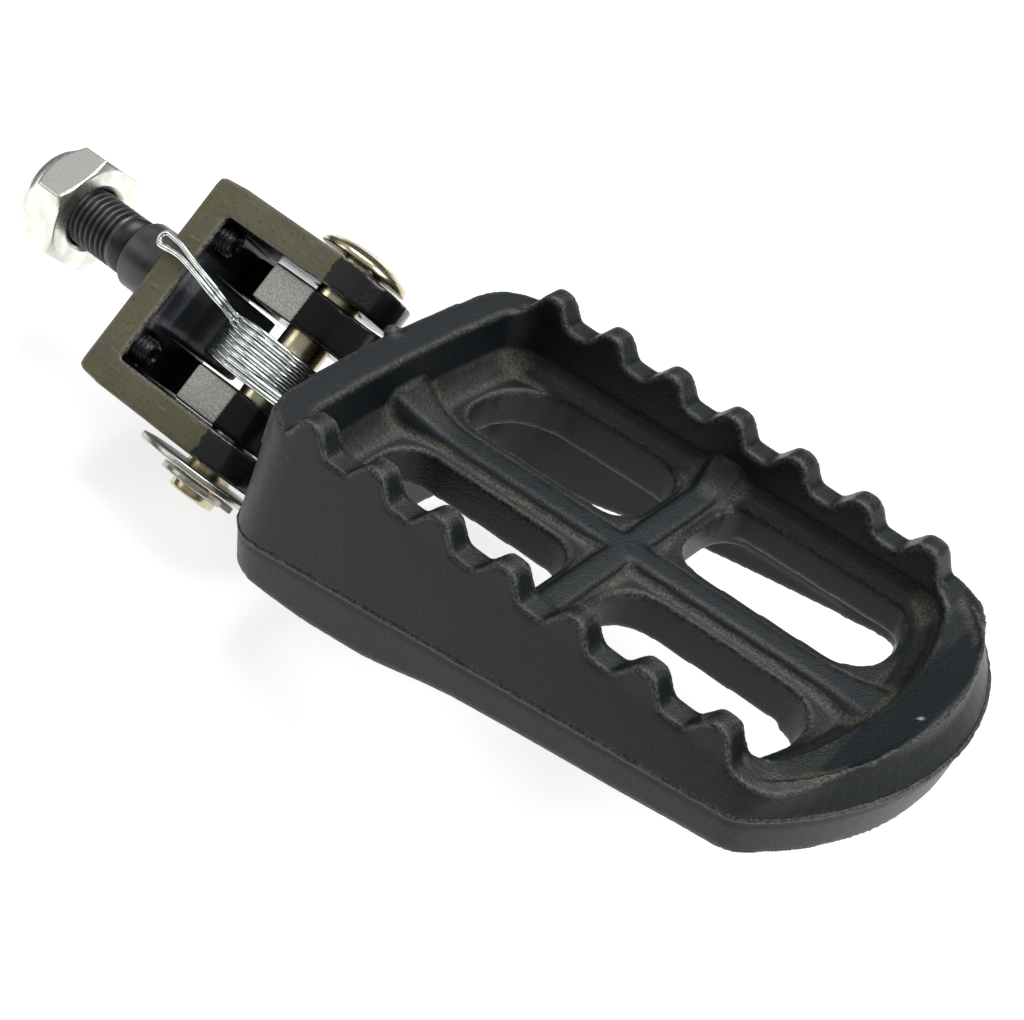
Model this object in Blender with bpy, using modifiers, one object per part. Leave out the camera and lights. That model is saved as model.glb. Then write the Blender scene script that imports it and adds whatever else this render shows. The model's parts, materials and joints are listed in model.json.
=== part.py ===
"""Folding rider's foot peg: a toothed tray that hinges on a clevis, and a threaded stud that bolts the clevis on.

The origin is the centre of the stud's free end. X runs along the stud to the peg's tip, Z is up, and the tray is
symmetric about Y = 0. Sizes are in millimetres. The clevis is rolled about X, so it has axes of its own: X as
above, Y along the hinge pin, Z square to the clevis's ground top face. Its origin is the middle of the pin.
"""

import math

import bmesh
import bpy
from mathutils import Matrix, Vector

MM = 0.001

# where the pieces stand
HINGE = (57.5, -1.15, -1.16)
CLEVIS_ROLL = math.radians(45)
FIRST_TOOTH_X = 84.1
TOOTH_TOP_Z = 19.9
FIT_GAP = 0.3

# tray outline: half width, tip, tip arc, tip corner, mount end, mount arc, mount corner
BOTTOM_OUTLINE = (31.0, 93.5, 42.0, 5.0, -11.6, 290.0, 9.0)
PARTING_OUTLINE = (31.8, 94.3, 42.0, 5.0, -12.3, 290.0, 9.5)
RIM_OUTLINE = (30.2, 90.4, 56.0, 8.5, -10.6, 290.0, 9.5)
CREST_OUTLINE = (29.9, 89.7, 56.0, 8.5, -10.3, 290.0, 9.5)
TRAY_TOP_OUTLINE = (25.6, 84.2, 60.0, 6.0, -5.1, 290.0, 5.0)
TRAY_FLOOR_OUTLINE = (25.0, 82.9, 60.0, 6.0, -3.6, 290.0, 5.0)
POCKET_OUTLINE = (24.9, 72.0, 90.0, 6.0, 1.0, 290.0, 6.0)
OUTLINE_STEPS = (5, 4, 15, 5, 2)

# tray levels below the tooth tops
BOTTOM_LINE = ((-13, -32.0), (2, -32.0), (9, -31.4), (21, -29.3), (33, -25.1), (48, -21.9), (64, -18.8), (77, -16.0),
               (95, -14.5))
PARTING_AT_MOUNT = -23.7
PARTING_SLOPE = 0.184
TIP_LIP = ((9.5, -4.5), (12.5, -4.1), (15.5, -3.0), (19.5, -1.4), (50, -1.4))
RIM_RING_LEVEL = -3.45
ABOVE_TEETH = 1.2
DECK_AT_FIRST_TOOTH = -13.5
DECK_SLOPE = 0.06
RIB_DEPTH = 7.0
MOUNT_RIM_LEVEL = -4.0
RIDGE_ROOT = 2.0

# raised ridges on the deck: x from, x to, half width, height
LONG_RIDGE = (-6.0, 85.0, 2.2, 1.25)
CROSS_RIDGE = (37.1, 41.2, 26.5, 1.15)

# teeth along both long rims
TOOTH_COUNT = 7
TOOTH_PITCH = 11.75
TOOTH_RISE_START = -2.55
TOOTH_CREST = ((-0.15, 0.0), (0.7, 0.4), (1.7, 0.5), (2.6, 0.35), (3.3, 0.0))
TOOTH_FALL_END = 5.3
TOOTH_VALLEY = -3.2

# slots through the deck: x from, x to, y from, y to, corner radius, outer corner radius at the mount end
MOUNT_SLOT = (2.0, 35.3, 5.3, 22.5, 5.5, 9.5)
TIP_SLOT = (43.0, 77.0, 4.9, 24.5, 6.5, 6.5)

# clevis
CLEVIS_HALF_WIDTH = 19.4
CLEVIS_HALF_GAP = 14.1
CLEVIS_HALF_HEIGHT = 10.5
CLEVIS_BACK = -25.0
CLEVIS_BACK_INSIDE = -19.3
CLEVIS_CORNER_LENGTH = 5.0
CLEVIS_CORNER_DEPTH = 0.5
SADDLE_SIDES = (-6.5, 5.7)
SADDLE_PROFILE = ((-21, -10.5), (-12.5, -10.5), (-14.6, -7.2), (-16.4, -3.6), (-17.9, 0.6), (-18.9, 4.6),
                  (-19.2, 8.0), (-21, 8.0))
ARM_EDGE = 0.5

# hinge lugs of the peg, in clevis axes
LUG_SIDES = ((6.1, 12.9), (-13.7, -6.9))
LUG_RADIUS = 9.1
LUG_FOOT = 20.0
LUG_BOTTOM = -9.3
HEEL_BACK = CLEVIS_BACK_INSIDE + FIT_GAP
LUG_PAD = (-8.2, 0.3)
WEB_START = 11.0
WEB_SIDES = (-8.0, 7.5)

# hinge pin and its retainers, in clevis axes
PIN_RADIUS = 4.0
PIN_BORE_RADIUS = 4.08
PIN_HEAD_RADIUS = 8.15
PIN_HEAD_SEAT = 20.3
PIN_HEAD_HEIGHT = 3.0
PIN_END = -25.2
GROOVE = (-23.75, -22.35)
GROOVE_RADIUS = 3.1
WASHER_RADIUS = 12.1
WASHER_BORE_RADIUS = 4.3
WASHER_SIDES = (-21.95, -20.55)
CLIP_SIDES = (-23.6, -22.5)
CLIP_RADIUS = 6.7
CLIP_PRONG_RADIUS = 3.4
CLIP_THROAT_RADIUS = 4.9
CLIP_MOUTH = 34

# return spring, in clevis axes
WIRE_RADIUS = 0.5
STRAND_PITCH = 1.07
COIL_TURNS = 3
COIL_CENTRE_X = -2.2
COIL_RADIUS = 9.85
COIL_FAR_Y = 2.45
BIGHT_X = -26.2
BIGHT_Y = 5.2
SPRING_FOOT_X = 14.0

# stud and lock nut
STUD_RADIUS = 5.15
COLLAR_RADIUS = 6.15
COLLAR_LENGTH = 9.5
SHANK_LENGTH = 3.2
SPIGOT_RADIUS = 4.3
SPIGOT_LENGTH = 5.0
NUT_ACROSS_FLATS = 18.4
NUT_FACE_X = 11.0
NUT_LENGTH = 10.0
NUT_TURN = 50.2
NUT_HEX_LENGTH = 7.2
NUT_COLLAR_RADIUS = 8.7
NUT_BORE_RADIUS = 5.45
INSERT_RADIUS = 6.9
INSERT_LENGTH = 2.2
INSERT_SEAT_RADIUS = 7.15

# stop screws, in clevis axes
SCREW_RADIUS = 2.45
SCREW_HOLE_RADIUS = 2.75
SCREW_NEAR_Y = -10.8
SCREW_FAR_Y = 11.2
SCREW_Z = 6.8
SCREW_ENDS = (-24.6, -16.6)
SCREW_KEY_ACROSS_FLATS = 2.5
SCREW_KEY_DEPTH = 2.5

ROUND_STEPS = 40
FINE_STEPS = 32
SMALL_STEPS = 24

CLEVIS_PLACE = Matrix.Translation(MM * Vector(HINGE)) @ Matrix.Rotation(CLEVIS_ROLL, 4, "X")
TRAY_PLACE = Matrix.Translation(MM * Vector((FIRST_TOOTH_X, 0, TOOTH_TOP_Z)))
PROFILE_UP = Matrix.Rotation(math.radians(90), 4, "X")
AXIS_TO_TIP = Matrix.Rotation(math.radians(90), 4, "Y")
AXIS_TO_MOUNT = Matrix.Rotation(math.radians(-90), 4, "Y")
AXIS_ALONG_PIN = Matrix.Rotation(math.radians(-90), 4, "X")

for old in list(bpy.data.objects):
    bpy.data.objects.remove(old, do_unlink=True)
pieces = bpy.data.collections.new("foot_peg")
tools = bpy.data.collections.new("cutters")
bpy.context.scene.collection.children.link(pieces)
bpy.context.scene.collection.children.link(tools)


def material(name, colour, roughness, metallic):
    """A plain surface with one colour."""
    made = bpy.data.materials.new(name)
    made.use_nodes = True
    surface = made.node_tree.nodes["Principled BSDF"]
    surface.inputs["Base Color"].default_value = (*colour, 1)
    surface.inputs["Roughness"].default_value = roughness
    surface.inputs["Metallic"].default_value = metallic
    return made


def placed(name, mesh, place):
    """An object made of a mesh, standing at a place, kept as a tool until it is made a piece."""
    obj = bpy.data.objects.new(name, mesh)
    tools.objects.link(obj)
    obj.matrix_world = place
    obj.hide_render = True
    obj.display_type = "WIRE"
    return obj


def as_piece(obj, surface, smooth_angle=None):
    """Turns a shape into a visible piece with its own material."""
    tools.objects.unlink(obj)
    pieces.objects.link(obj)
    obj.hide_render = False
    obj.display_type = "TEXTURED"
    obj.data.materials.append(surface)
    if smooth_angle is not None:
        for face in obj.data.polygons:
            face.use_smooth = True
    return obj


def turn_outward(mesh):
    """Points every face of a closed mesh outward."""
    work = bmesh.new()
    work.from_mesh(mesh)
    bmesh.ops.recalc_face_normals(work, faces=work.faces)
    work.to_mesh(mesh)
    work.free()


def mesh_of_curve(curve):
    """The closed mesh of a curve, its caps joined to its walls."""
    holder = bpy.data.objects.new("holder", curve)
    tools.objects.link(holder)
    bpy.context.view_layer.update()
    graph = bpy.context.evaluated_depsgraph_get()
    mesh = bpy.data.meshes.new_from_object(holder.evaluated_get(graph))
    work = bmesh.new()
    work.from_mesh(mesh)
    bmesh.ops.remove_doubles(work, verts=work.verts, dist=0.001 * MM)
    bmesh.ops.recalc_face_normals(work, faces=work.faces)
    work.to_mesh(mesh)
    work.free()
    bpy.data.objects.remove(holder, do_unlink=True)
    return mesh


def plate(name, outlines, low, high, place):
    """A straight prism from outlines in the place's XY plane, from low to high along its Z."""
    curve = bpy.data.curves.new(name, "CURVE")
    curve.dimensions = "2D"
    curve.fill_mode = "BOTH"
    curve.extrude = MM * (high - low) / 2
    for outline in outlines:
        spline = curve.splines.new("POLY")
        spline.points.add(len(outline) - 1)
        for point, (x, y) in zip(spline.points, outline):
            point.co = (MM * x, MM * y, 0, 1)
        spline.use_cyclic_u = True
    mesh = mesh_of_curve(curve)
    mesh.transform(Matrix.Translation((0, 0, MM * (low + high) / 2)))
    return placed(name, mesh, place)


def slab(name, profile, y_low, y_high, place):
    """A straight prism from a profile of (x, z) points, from y_low to y_high."""
    made = plate(name, [profile], -y_high, -y_low, Matrix.Identity(4))
    made.data.transform(PROFILE_UP)
    made.matrix_world = place
    return made


def turned(name, profile, steps, place, closed=False):
    """A turned solid about the place's Z, from (radius, height) points that run down its outer side."""
    mesh = bpy.data.meshes.new(name)
    points = [(MM * radius, 0, MM * height) for radius, height in profile]
    edges = [(i, i + 1) for i in range(len(points) - 1)]
    if closed:
        edges.append((len(points) - 1, 0))
    mesh.from_pydata(points, edges, [])
    obj = placed(name, mesh, place)
    screw = obj.modifiers.new("turn", "SCREW")
    screw.axis = "Z"
    screw.angle = math.tau
    screw.steps = steps
    screw.render_steps = steps
    screw.use_merge_vertices = True
    screw.merge_threshold = 0.01 * MM
    bpy.context.view_layer.update()
    graph = bpy.context.evaluated_depsgraph_get()
    solid = bpy.data.meshes.new_from_object(obj.evaluated_get(graph))
    obj.modifiers.clear()
    obj.data = solid
    turn_outward(solid)
    for face in solid.polygons:
        face.use_smooth = True
    return obj


def combine(obj, other, operation):
    """Joins, cuts or keeps the overlap of two solids."""
    step = obj.modifiers.new(operation.lower(), "BOOLEAN")
    step.solver = "EXACT"
    step.operation = operation
    step.object = other


def rounded(corners, steps):
    """A closed outline through corners of (x, y, radius), each one rounded."""
    outline = []
    count = len(corners)
    for i, (x, y, radius) in enumerate(corners):
        here = Vector((x, y))
        back = (Vector(corners[i - 1][:2]) - here).normalized()
        ahead = (Vector(corners[(i + 1) % count][:2]) - here).normalized()
        if radius == 0:
            outline.append((x, y))
            continue
        half = back.angle(ahead) / 2
        centre = here + (back + ahead).normalized() * radius / math.sin(half)
        start = here + back * radius / math.tan(half) - centre
        sweep = (math.pi - 2 * half) * (1 if start.y * back.x - start.x * back.y > 0 else -1)
        for k in range(steps + 1):
            turn = sweep * k / steps
            spoke = Vector((start.x * math.cos(turn) - start.y * math.sin(turn),
                            start.x * math.sin(turn) + start.y * math.cos(turn)))
            outline.append(tuple(centre + spoke))
    return outline


def arc(radius, start, end, steps, centre=(0, 0)):
    """Points on an arc, angles in degrees, both ends kept."""
    points = []
    for k in range(steps + 1):
        angle = math.radians(start + (end - start) * k / steps)
        points.append((centre[0] + radius * math.cos(angle), centre[1] + radius * math.sin(angle)))
    return points


def level(line, x):
    """The height of a line of (x, height) points at x."""
    for (x0, z0), (x1, z1) in zip(line, line[1:]):
        if x <= x1:
            return z0 + (z1 - z0) * (x - x0) / (x1 - x0)
    return line[-1][1]


def half_outline(half_width, tip, tip_arc, tip_corner, mount, mount_arc, mount_corner):
    """One side of a tray outline, from the middle of the tip round to the middle of the mount end."""
    tip_steps, corner_steps, side_steps, mount_corner_steps, mount_steps = OUTLINE_STEPS

    def end(end_x, big, small, steps, small_steps, direction):
        centre_x = end_x - direction * big
        corner_y = half_width - small
        corner_x = centre_x + direction * math.sqrt((big - small) ** 2 - corner_y ** 2)
        meeting = math.degrees(math.asin(corner_y / (big - small)))
        points = arc(big, 0, meeting, steps)
        points += arc(small, meeting, 90, small_steps, (direction * (corner_x - centre_x), corner_y))[1:]
        return [(centre_x + direction * x, y) for x, y in points]

    tip_side = end(tip, tip_arc, tip_corner, tip_steps, corner_steps, 1)
    mount_side = end(mount, mount_arc, mount_corner, mount_steps, mount_corner_steps, -1)
    mount_side.reverse()
    x_from = tip_side[-1][0]
    x_to = mount_side[0][0]
    side = [(x_from + (x_to - x_from) * k / side_steps, half_width) for k in range(1, side_steps)]
    return tip_side + side + mount_side


def tray_loft(name, rings):
    """A solid through tray outlines, each with the height it has at any x, lowest first."""
    mesh = bpy.data.meshes.new(name)
    work = bmesh.new()
    loops = []
    for outline, height in rings:
        half = half_outline(*outline)
        left = [work.verts.new((MM * x, MM * y, MM * height(x))) for x, y in half]
        right = [work.verts.new((MM * x, MM * -y, MM * height(x))) for x, y in half[1:-1]]
        loops.append((left, [left[0], *right, left[-1]]))
    for (left_a, right_a), (left_b, right_b) in zip(loops, loops[1:]):
        for low, high in ((left_a, left_b), (right_a, right_b)):
            for i in range(len(low) - 1):
                work.faces.new((low[i], low[i + 1], high[i + 1], high[i]))
    for left, right in (loops[0], loops[-1]):
        last = len(left) - 2
        for i in range(last + 1):
            across = [left[i], left[i + 1], right[i + 1], right[i]]
            if i == 0:
                across = across[:3]
            if i == last:
                across = [left[i], left[i + 1], right[i]]
            work.faces.new(across)
    bmesh.ops.recalc_face_normals(work, faces=work.faces)
    work.to_mesh(mesh)
    work.free()
    return placed(name, mesh, TRAY_PLACE)


def parting_line(x):
    return PARTING_AT_MOUNT + PARTING_SLOPE * x


def deck_top(x):
    return DECK_AT_FIRST_TOOTH + DECK_SLOPE * x


def rib_bottom(x):
    return deck_top(x) - RIB_DEPTH


def tooth_line():
    """The top edge of the tray's walls, mount end to tip."""
    line = [(-30, MOUNT_RIM_LEVEL), (TOOTH_RISE_START, MOUNT_RIM_LEVEL)]
    for tooth in range(TOOTH_COUNT):
        crest = tooth * TOOTH_PITCH
        if tooth:
            line.append((crest + TOOTH_RISE_START, TOOTH_VALLEY))
        line += [(crest + x, z) for x, z in TOOTH_CREST]
        last = tooth == TOOTH_COUNT - 1
        line.append((crest + TOOTH_FALL_END, MOUNT_RIM_LEVEL if last else TOOTH_VALLEY))
    line += [(crest + x, z) for x, z in TIP_LIP]
    return line


def lug_top():
    """The upper edge of a hinge lug and of the web behind it, from the pin to the tray's end wall."""
    rise = [(9.5, 5.0), (11.5, 4.9), (13.5, 5.7), (15.6, 7.4), (17.0, 8.8)]
    return rise + [(LUG_FOOT, 9.2), (LUG_FOOT, LUG_BOTTOM)]


def build_peg():
    body = tray_loft("peg_body", [
        (BOTTOM_OUTLINE, lambda x: level(BOTTOM_LINE, x)),
        (PARTING_OUTLINE, parting_line),
        (RIM_OUTLINE, lambda x: RIM_RING_LEVEL),
        (CREST_OUTLINE, lambda x: ABOVE_TEETH),
    ])
    tray = tray_loft("tray_cut", [
        (TRAY_FLOOR_OUTLINE, deck_top),
        (TRAY_TOP_OUTLINE, lambda x: 2 * ABOVE_TEETH),
    ])
    combine(body, tray, "DIFFERENCE")
    pocket = tray_loft("underside_cut", [
        (POCKET_OUTLINE, lambda x: level(BOTTOM_LINE, x) - RIB_DEPTH),
        (POCKET_OUTLINE, rib_bottom),
    ])
    combine(body, pocket, "DIFFERENCE")
    for side in (1, -1):
        for x_low, x_high, y_low, y_high, corner, outer_corner in (MOUNT_SLOT, TIP_SLOT):
            outline = rounded([
                (x_low, side * y_low, corner),
                (x_high, side * y_low, corner),
                (x_high, side * y_high, corner),
                (x_low, side * y_high, outer_corner),
            ], 4)
            slot = plate("slot_cut", [outline], -45, -5, TRAY_PLACE)
            combine(body, slot, "DIFFERENCE")
    for x_low, x_high, half_width, height in (LONG_RIDGE, CROSS_RIDGE):
        ends = (x_low, x_high)
        profile = [(x, deck_top(x) - RIDGE_ROOT) for x in ends] + [(x, deck_top(x) + height) for x in reversed(ends)]
        combine(body, slab("deck_ridge", profile, -half_width, half_width, TRAY_PLACE), "UNION")
    crown = tooth_line()
    above = slab("teeth_cut", crown + [(120, 10), (-30, 10)], -45, 45, TRAY_PLACE)
    combine(body, above, "DIFFERENCE")

    web = slab("lug_web", [(WEB_START, LUG_BOTTOM), (WEB_START, 4.6)] + lug_top()[2:], *WEB_SIDES, CLEVIS_PLACE)
    combine(body, web, "UNION")
    heel = [(HEEL_BACK, LUG_BOTTOM), (HEEL_BACK, -3.6), (-10.5, -2.5), (LUG_PAD[0], -0.5),
            (LUG_PAD[0], LUG_RADIUS), (LUG_PAD[1], LUG_RADIUS)]
    lug_profile = heel + arc(LUG_RADIUS, 80, 45, 3) + lug_top()
    for low, high in LUG_SIDES:
        lug = slab("lug", lug_profile, low, high, CLEVIS_PLACE)
        combine(body, lug, "UNION")
    bore = turned("pin_bore_cut", [(0, 20), (PIN_BORE_RADIUS, 20), (PIN_BORE_RADIUS, -20), (0, -20)],
                  FINE_STEPS, CLEVIS_PLACE @ AXIS_ALONG_PIN)
    combine(body, bore, "DIFFERENCE")
    shift = TRAY_PLACE.translation - MM * Vector(HINGE)
    body.data.transform(Matrix.Translation(shift))
    body.matrix_world = Matrix.Translation(MM * Vector(HINGE))
    as_piece(body, material("peg_black_coat", (0.03, 0.033, 0.035), 0.55, 0.2))


def build_clevis():
    inset = CLEVIS_HALF_WIDTH - CLEVIS_CORNER_DEPTH
    top = CLEVIS_HALF_HEIGHT
    side_profile = [(CLEVIS_BACK, -top + ARM_EDGE), (CLEVIS_BACK, top - ARM_EDGE), (CLEVIS_BACK + ARM_EDGE, top)]
    side_profile += arc(top, 90, -90, 16)
    side_profile += [(CLEVIS_BACK + ARM_EDGE, -top)]
    body = slab("clevis", side_profile, -CLEVIS_HALF_WIDTH, CLEVIS_HALF_WIDTH, CLEVIS_PLACE)
    front = top + 5
    plan = [
        (CLEVIS_BACK - 5, -inset - 5), (front, -CLEVIS_HALF_WIDTH - 5), (front, CLEVIS_HALF_WIDTH + 5),
        (CLEVIS_BACK - 5, inset + 5),
    ]
    keep = rounded([
        (CLEVIS_BACK, -inset, 1.5),
        (CLEVIS_BACK + CLEVIS_CORNER_LENGTH, -CLEVIS_HALF_WIDTH, 8),
        (front, -CLEVIS_HALF_WIDTH, 0),
        (front, CLEVIS_HALF_WIDTH, 0),
        (CLEVIS_BACK + CLEVIS_CORNER_LENGTH, CLEVIS_HALF_WIDTH, 8),
        (CLEVIS_BACK, inset, 1.5),
    ], 4)
    trim = plate("clevis_plan_cut", [plan, keep], -top - 2, top + 2, CLEVIS_PLACE)
    combine(body, trim, "DIFFERENCE")
    gap = plate("clevis_gap_cut", [rounded([
        (CLEVIS_BACK_INSIDE, -CLEVIS_HALF_GAP, 0.5),
        (front + 1, -CLEVIS_HALF_GAP, 0),
        (front + 1, CLEVIS_HALF_GAP, 0),
        (CLEVIS_BACK_INSIDE, CLEVIS_HALF_GAP, 0.5),
    ], 3)], -top - 2, top + 2, CLEVIS_PLACE)
    combine(body, gap, "DIFFERENCE")
    saddle = slab("saddle", SADDLE_PROFILE, *SADDLE_SIDES, CLEVIS_PLACE)
    combine(body, saddle, "UNION")
    reach = CLEVIS_HALF_WIDTH + 2
    bore = turned("arm_bore_cut", [(0, reach), (PIN_BORE_RADIUS + FIT_GAP, reach),
                                   (PIN_BORE_RADIUS + FIT_GAP, -reach), (0, -reach)],
                  FINE_STEPS, CLEVIS_PLACE @ AXIS_ALONG_PIN)
    combine(body, bore, "DIFFERENCE")
    for y in (SCREW_NEAR_Y, SCREW_FAR_Y):
        at = CLEVIS_PLACE @ Matrix.Translation((MM * CLEVIS_BACK_INSIDE, MM * y, MM * SCREW_Z)) @ AXIS_TO_TIP
        hole = turned("screw_hole_cut", [(0, 2), (SCREW_HOLE_RADIUS, 2), (SCREW_HOLE_RADIUS, -8), (0, -8)],
                      SMALL_STEPS, at)
        combine(body, hole, "DIFFERENCE")
    seat = Matrix.Translation((MM * (HINGE[0] + CLEVIS_BACK), 0, 0)) @ AXIS_TO_TIP
    socket_radius = SPIGOT_RADIUS + FIT_GAP
    socket = turned("spigot_cut", [(0, SPIGOT_LENGTH), (socket_radius, SPIGOT_LENGTH), (socket_radius, -2), (0, -2)],
                    SMALL_STEPS, seat)
    combine(body, socket, "DIFFERENCE")
    as_piece(body, material("clevis_black", (0.05, 0.052, 0.045), 0.4, 0.6))


def build_stud():
    face = HINGE[0] + CLEVIS_BACK - FIT_GAP
    collar_end = HINGE[0] + CLEVIS_BACK - COLLAR_LENGTH
    thread_start = collar_end - SHANK_LENGTH
    profile = [
        (0, face + SPIGOT_LENGTH), (SPIGOT_RADIUS - 0.5, face + SPIGOT_LENGTH),
        (SPIGOT_RADIUS, face + SPIGOT_LENGTH - 0.5), (SPIGOT_RADIUS, face),
        (COLLAR_RADIUS, face), (COLLAR_RADIUS, collar_end + 0.5), (COLLAR_RADIUS - 0.5, collar_end),
        (STUD_RADIUS, collar_end), (STUD_RADIUS, thread_start + 0.5), (STUD_RADIUS - 0.15, thread_start),
        (STUD_RADIUS - 0.15, 1.0), (STUD_RADIUS - 1.0, 0), (0, 0),
    ]
    stud = turned("mounting_stud", profile, ROUND_STEPS, AXIS_TO_TIP)
    as_piece(stud, material("stud_black_oxide", (0.06, 0.06, 0.065), 0.45, 0.8))


def build_nut():
    circumradius = NUT_ACROSS_FLATS / math.sqrt(3)
    hexagon = arc(circumradius, NUT_TURN, NUT_TURN + 300, 5)
    at = Matrix.Translation((MM * NUT_FACE_X, 0, 0)) @ AXIS_TO_TIP
    nut = plate("lock_nut", [hexagon], -NUT_LENGTH, 0, at)
    chamfer = circumradius - NUT_ACROSS_FLATS / 2 + 0.5
    form = turned("nut_form", [
        (0, 0.5), (NUT_ACROSS_FLATS / 2 - 0.5, 0.5), (NUT_ACROSS_FLATS / 2 - 0.2, 0),
        (circumradius + 0.3, -chamfer / 2), (circumradius + 0.3, -NUT_HEX_LENGTH + 0.7),
        (NUT_ACROSS_FLATS / 2, -NUT_HEX_LENGTH), (NUT_COLLAR_RADIUS, -NUT_HEX_LENGTH - 0.2),
        (NUT_COLLAR_RADIUS, -NUT_LENGTH + 1.2), (NUT_COLLAR_RADIUS - 0.4, -NUT_LENGTH + 0.4),
        (NUT_COLLAR_RADIUS - 1.1, -NUT_LENGTH), (NUT_COLLAR_RADIUS - 1.3, -NUT_LENGTH - 0.5),
        (0, -NUT_LENGTH - 0.5),
    ], ROUND_STEPS, at)
    combine(nut, form, "INTERSECT")
    seat_depth = NUT_LENGTH - INSERT_LENGTH - 0.9
    bore = turned("nut_bore_cut", [
        (0, 1), (NUT_BORE_RADIUS + 1.5, 1), (NUT_BORE_RADIUS, -0.5), (NUT_BORE_RADIUS, -seat_depth),
        (INSERT_SEAT_RADIUS, -seat_depth - 0.01), (INSERT_SEAT_RADIUS, -NUT_LENGTH + 0.55),
        (INSERT_SEAT_RADIUS - 1.0, -NUT_LENGTH + 0.54), (INSERT_SEAT_RADIUS - 1.0, -NUT_LENGTH - 1),
        (0, -NUT_LENGTH - 1),
    ], ROUND_STEPS, at)
    combine(nut, bore, "DIFFERENCE")
    as_piece(nut, material("nut_zinc", (0.62, 0.61, 0.52), 0.3, 1.0))

    low = -NUT_LENGTH + 0.55 + 0.08
    insert = turned("nut_insert", [
        (INSERT_RADIUS, low + INSERT_LENGTH), (INSERT_RADIUS, low), (NUT_BORE_RADIUS, low),
        (NUT_BORE_RADIUS, low + INSERT_LENGTH),
    ], ROUND_STEPS, at, closed=True)
    as_piece(insert, material("nylon_insert", (0.75, 0.75, 0.7), 0.5, 0.0))


def build_pin():
    at = CLEVIS_PLACE @ AXIS_ALONG_PIN
    head_top = PIN_HEAD_SEAT + PIN_HEAD_HEIGHT
    profile = [
        (0, head_top), (PIN_HEAD_RADIUS - 4.0, head_top - 0.25), (PIN_HEAD_RADIUS - 1.6, head_top - 0.9),
        (PIN_HEAD_RADIUS - 0.4, head_top - 1.8), (PIN_HEAD_RADIUS, PIN_HEAD_SEAT + 0.5),
        (PIN_HEAD_RADIUS - 0.4, PIN_HEAD_SEAT), (PIN_RADIUS, PIN_HEAD_SEAT),
        (PIN_RADIUS, GROOVE[1]), (GROOVE_RADIUS, GROOVE[1] - 0.01),
        (GROOVE_RADIUS, GROOVE[0] + 0.01), (PIN_RADIUS, GROOVE[0]),
        (PIN_RADIUS, PIN_END + 0.7), (PIN_RADIUS - 0.7, PIN_END), (0, PIN_END),
    ]
    pin = turned("pivot_pin", profile, FINE_STEPS, at)
    as_piece(pin, material("pin_zinc", (0.66, 0.62, 0.48), 0.25, 1.0))

    low, high = WASHER_SIDES
    middle = (low + high) / 2
    washer = turned("washer", [
        (WASHER_BORE_RADIUS, high), (WASHER_RADIUS - 1.5, high), (WASHER_RADIUS, high - 0.25),
        (WASHER_RADIUS, low + 0.1), (WASHER_RADIUS - 1.5, middle - 0.35), (WASHER_BORE_RADIUS, middle - 0.3),
    ], ROUND_STEPS, at, closed=True)
    as_piece(washer, material("washer_zinc", (0.62, 0.62, 0.58), 0.3, 1.0))

    half_mouth = CLIP_MOUTH / 2
    outline = arc(CLIP_RADIUS, half_mouth, 360 - half_mouth, 26)
    prongs = ((360 - half_mouth, 325), (262, 238), (192, 168), (122, 98), (35, half_mouth))
    for start, end in prongs:
        radius = CLIP_PRONG_RADIUS
        outline += arc(radius, start - 2, end + 2, 3) if end != 325 else arc(radius, start, end + 2, 3)
        if end != half_mouth:
            outline += arc(CLIP_THROAT_RADIUS, end - 4, prongs[prongs.index((start, end)) + 1][0] + 4, 3)
    clip = plate("e_clip", [outline], CLIP_SIDES[0], CLIP_SIDES[1], at)
    as_piece(clip, material("clip_zinc", (0.6, 0.6, 0.55), 0.3, 1.0))


def spring_path():
    """One wire: a foot on the peg, a double coil round the pin, a bight behind the clevis, and back."""
    over_clevis = CLEVIS_HALF_HEIGHT + FIT_GAP + WIRE_RADIUS
    strands = []
    for strand in (0, 1):
        far_y = COIL_FAR_Y - strand * STRAND_PITCH
        bight_y = BIGHT_Y + (0.5 - strand) * 2.2 * STRAND_PITCH / 1.07
        points = [(BIGHT_X + 1.0, bight_y, over_clevis), (-19.0, bight_y - 0.9, over_clevis),
                  (-13.0, (far_y + bight_y) / 2 - 0.6, over_clevis - 0.1)]
        steps = 16
        for k in range(-2, COIL_TURNS * steps + 1):
            angle = math.radians(90) - math.tau * k / steps
            fall = 2 * STRAND_PITCH * max(k, 0) / steps
            points.append((COIL_CENTRE_X + COIL_RADIUS * math.cos(angle), far_y - fall,
                           COIL_RADIUS * math.sin(angle)))
        near_y = points[-1][1]
        points.append((3.0, near_y - 0.1, COIL_RADIUS - 0.2))
        points.append((9.0, near_y - 0.1, 7.9))
        points.append((SPRING_FOOT_X - 1.2, near_y - 0.1, 6.6))
        strands.append(points)
    bend = [(BIGHT_X + 1.0 - 1.1 * math.sin(math.radians(a)), BIGHT_Y + 1.1 * math.cos(math.radians(a)), over_clevis)
            for a in (30, 60, 90, 120, 150)]
    return list(reversed(strands[0])) + bend + strands[1]


def build_spring():
    curve = bpy.data.curves.new("torsion_spring", "CURVE")
    curve.dimensions = "3D"
    curve.bevel_depth = MM * WIRE_RADIUS
    curve.bevel_resolution = 1
    curve.use_fill_caps = True
    path = spring_path()
    spline = curve.splines.new("POLY")
    spline.points.add(len(path) - 1)
    for point, (x, y, z) in zip(spline.points, path):
        point.co = (MM * x, MM * y, MM * z, 1)
    mesh = mesh_of_curve(curve)
    spring = placed("torsion_spring", mesh, CLEVIS_PLACE)
    as_piece(spring, material("spring_zinc", (0.6, 0.6, 0.5), 0.3, 1.0), 180)


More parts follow.
